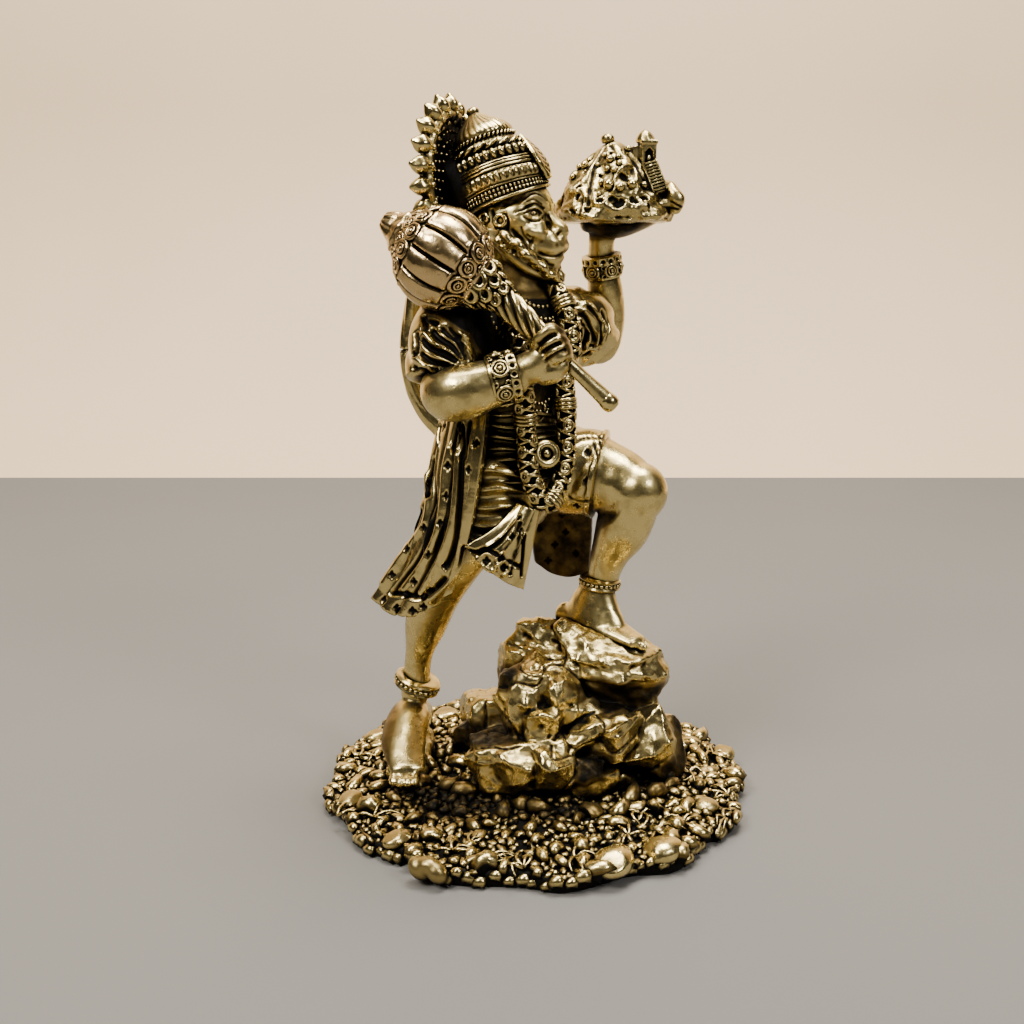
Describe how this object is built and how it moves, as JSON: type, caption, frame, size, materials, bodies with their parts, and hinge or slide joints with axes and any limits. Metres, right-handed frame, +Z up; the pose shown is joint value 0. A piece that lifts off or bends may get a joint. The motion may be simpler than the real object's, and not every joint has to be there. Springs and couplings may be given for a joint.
{
  "type": "cast figurine",
  "caption": "Small antiqued brass figure of Hanuman striding with a mace on one shoulder and a mountain on the raised hand, on rocks and a round pebbled base.",
  "frame": {"origin": "middle of the flat underside of the round base", "axes": "+Z up from the underside, +X the way the figure strides, +Y away from the side with the mace"},
  "size_m": [0.0961, 0.0966, 0.151],
  "materials": {
    "antique_brass": "antiqued, polished on the ridges and dark in the recesses"
  },
  "bodies": {
    "root": {"hero_casting": "antique_brass"}
  },
  "joints": []
}
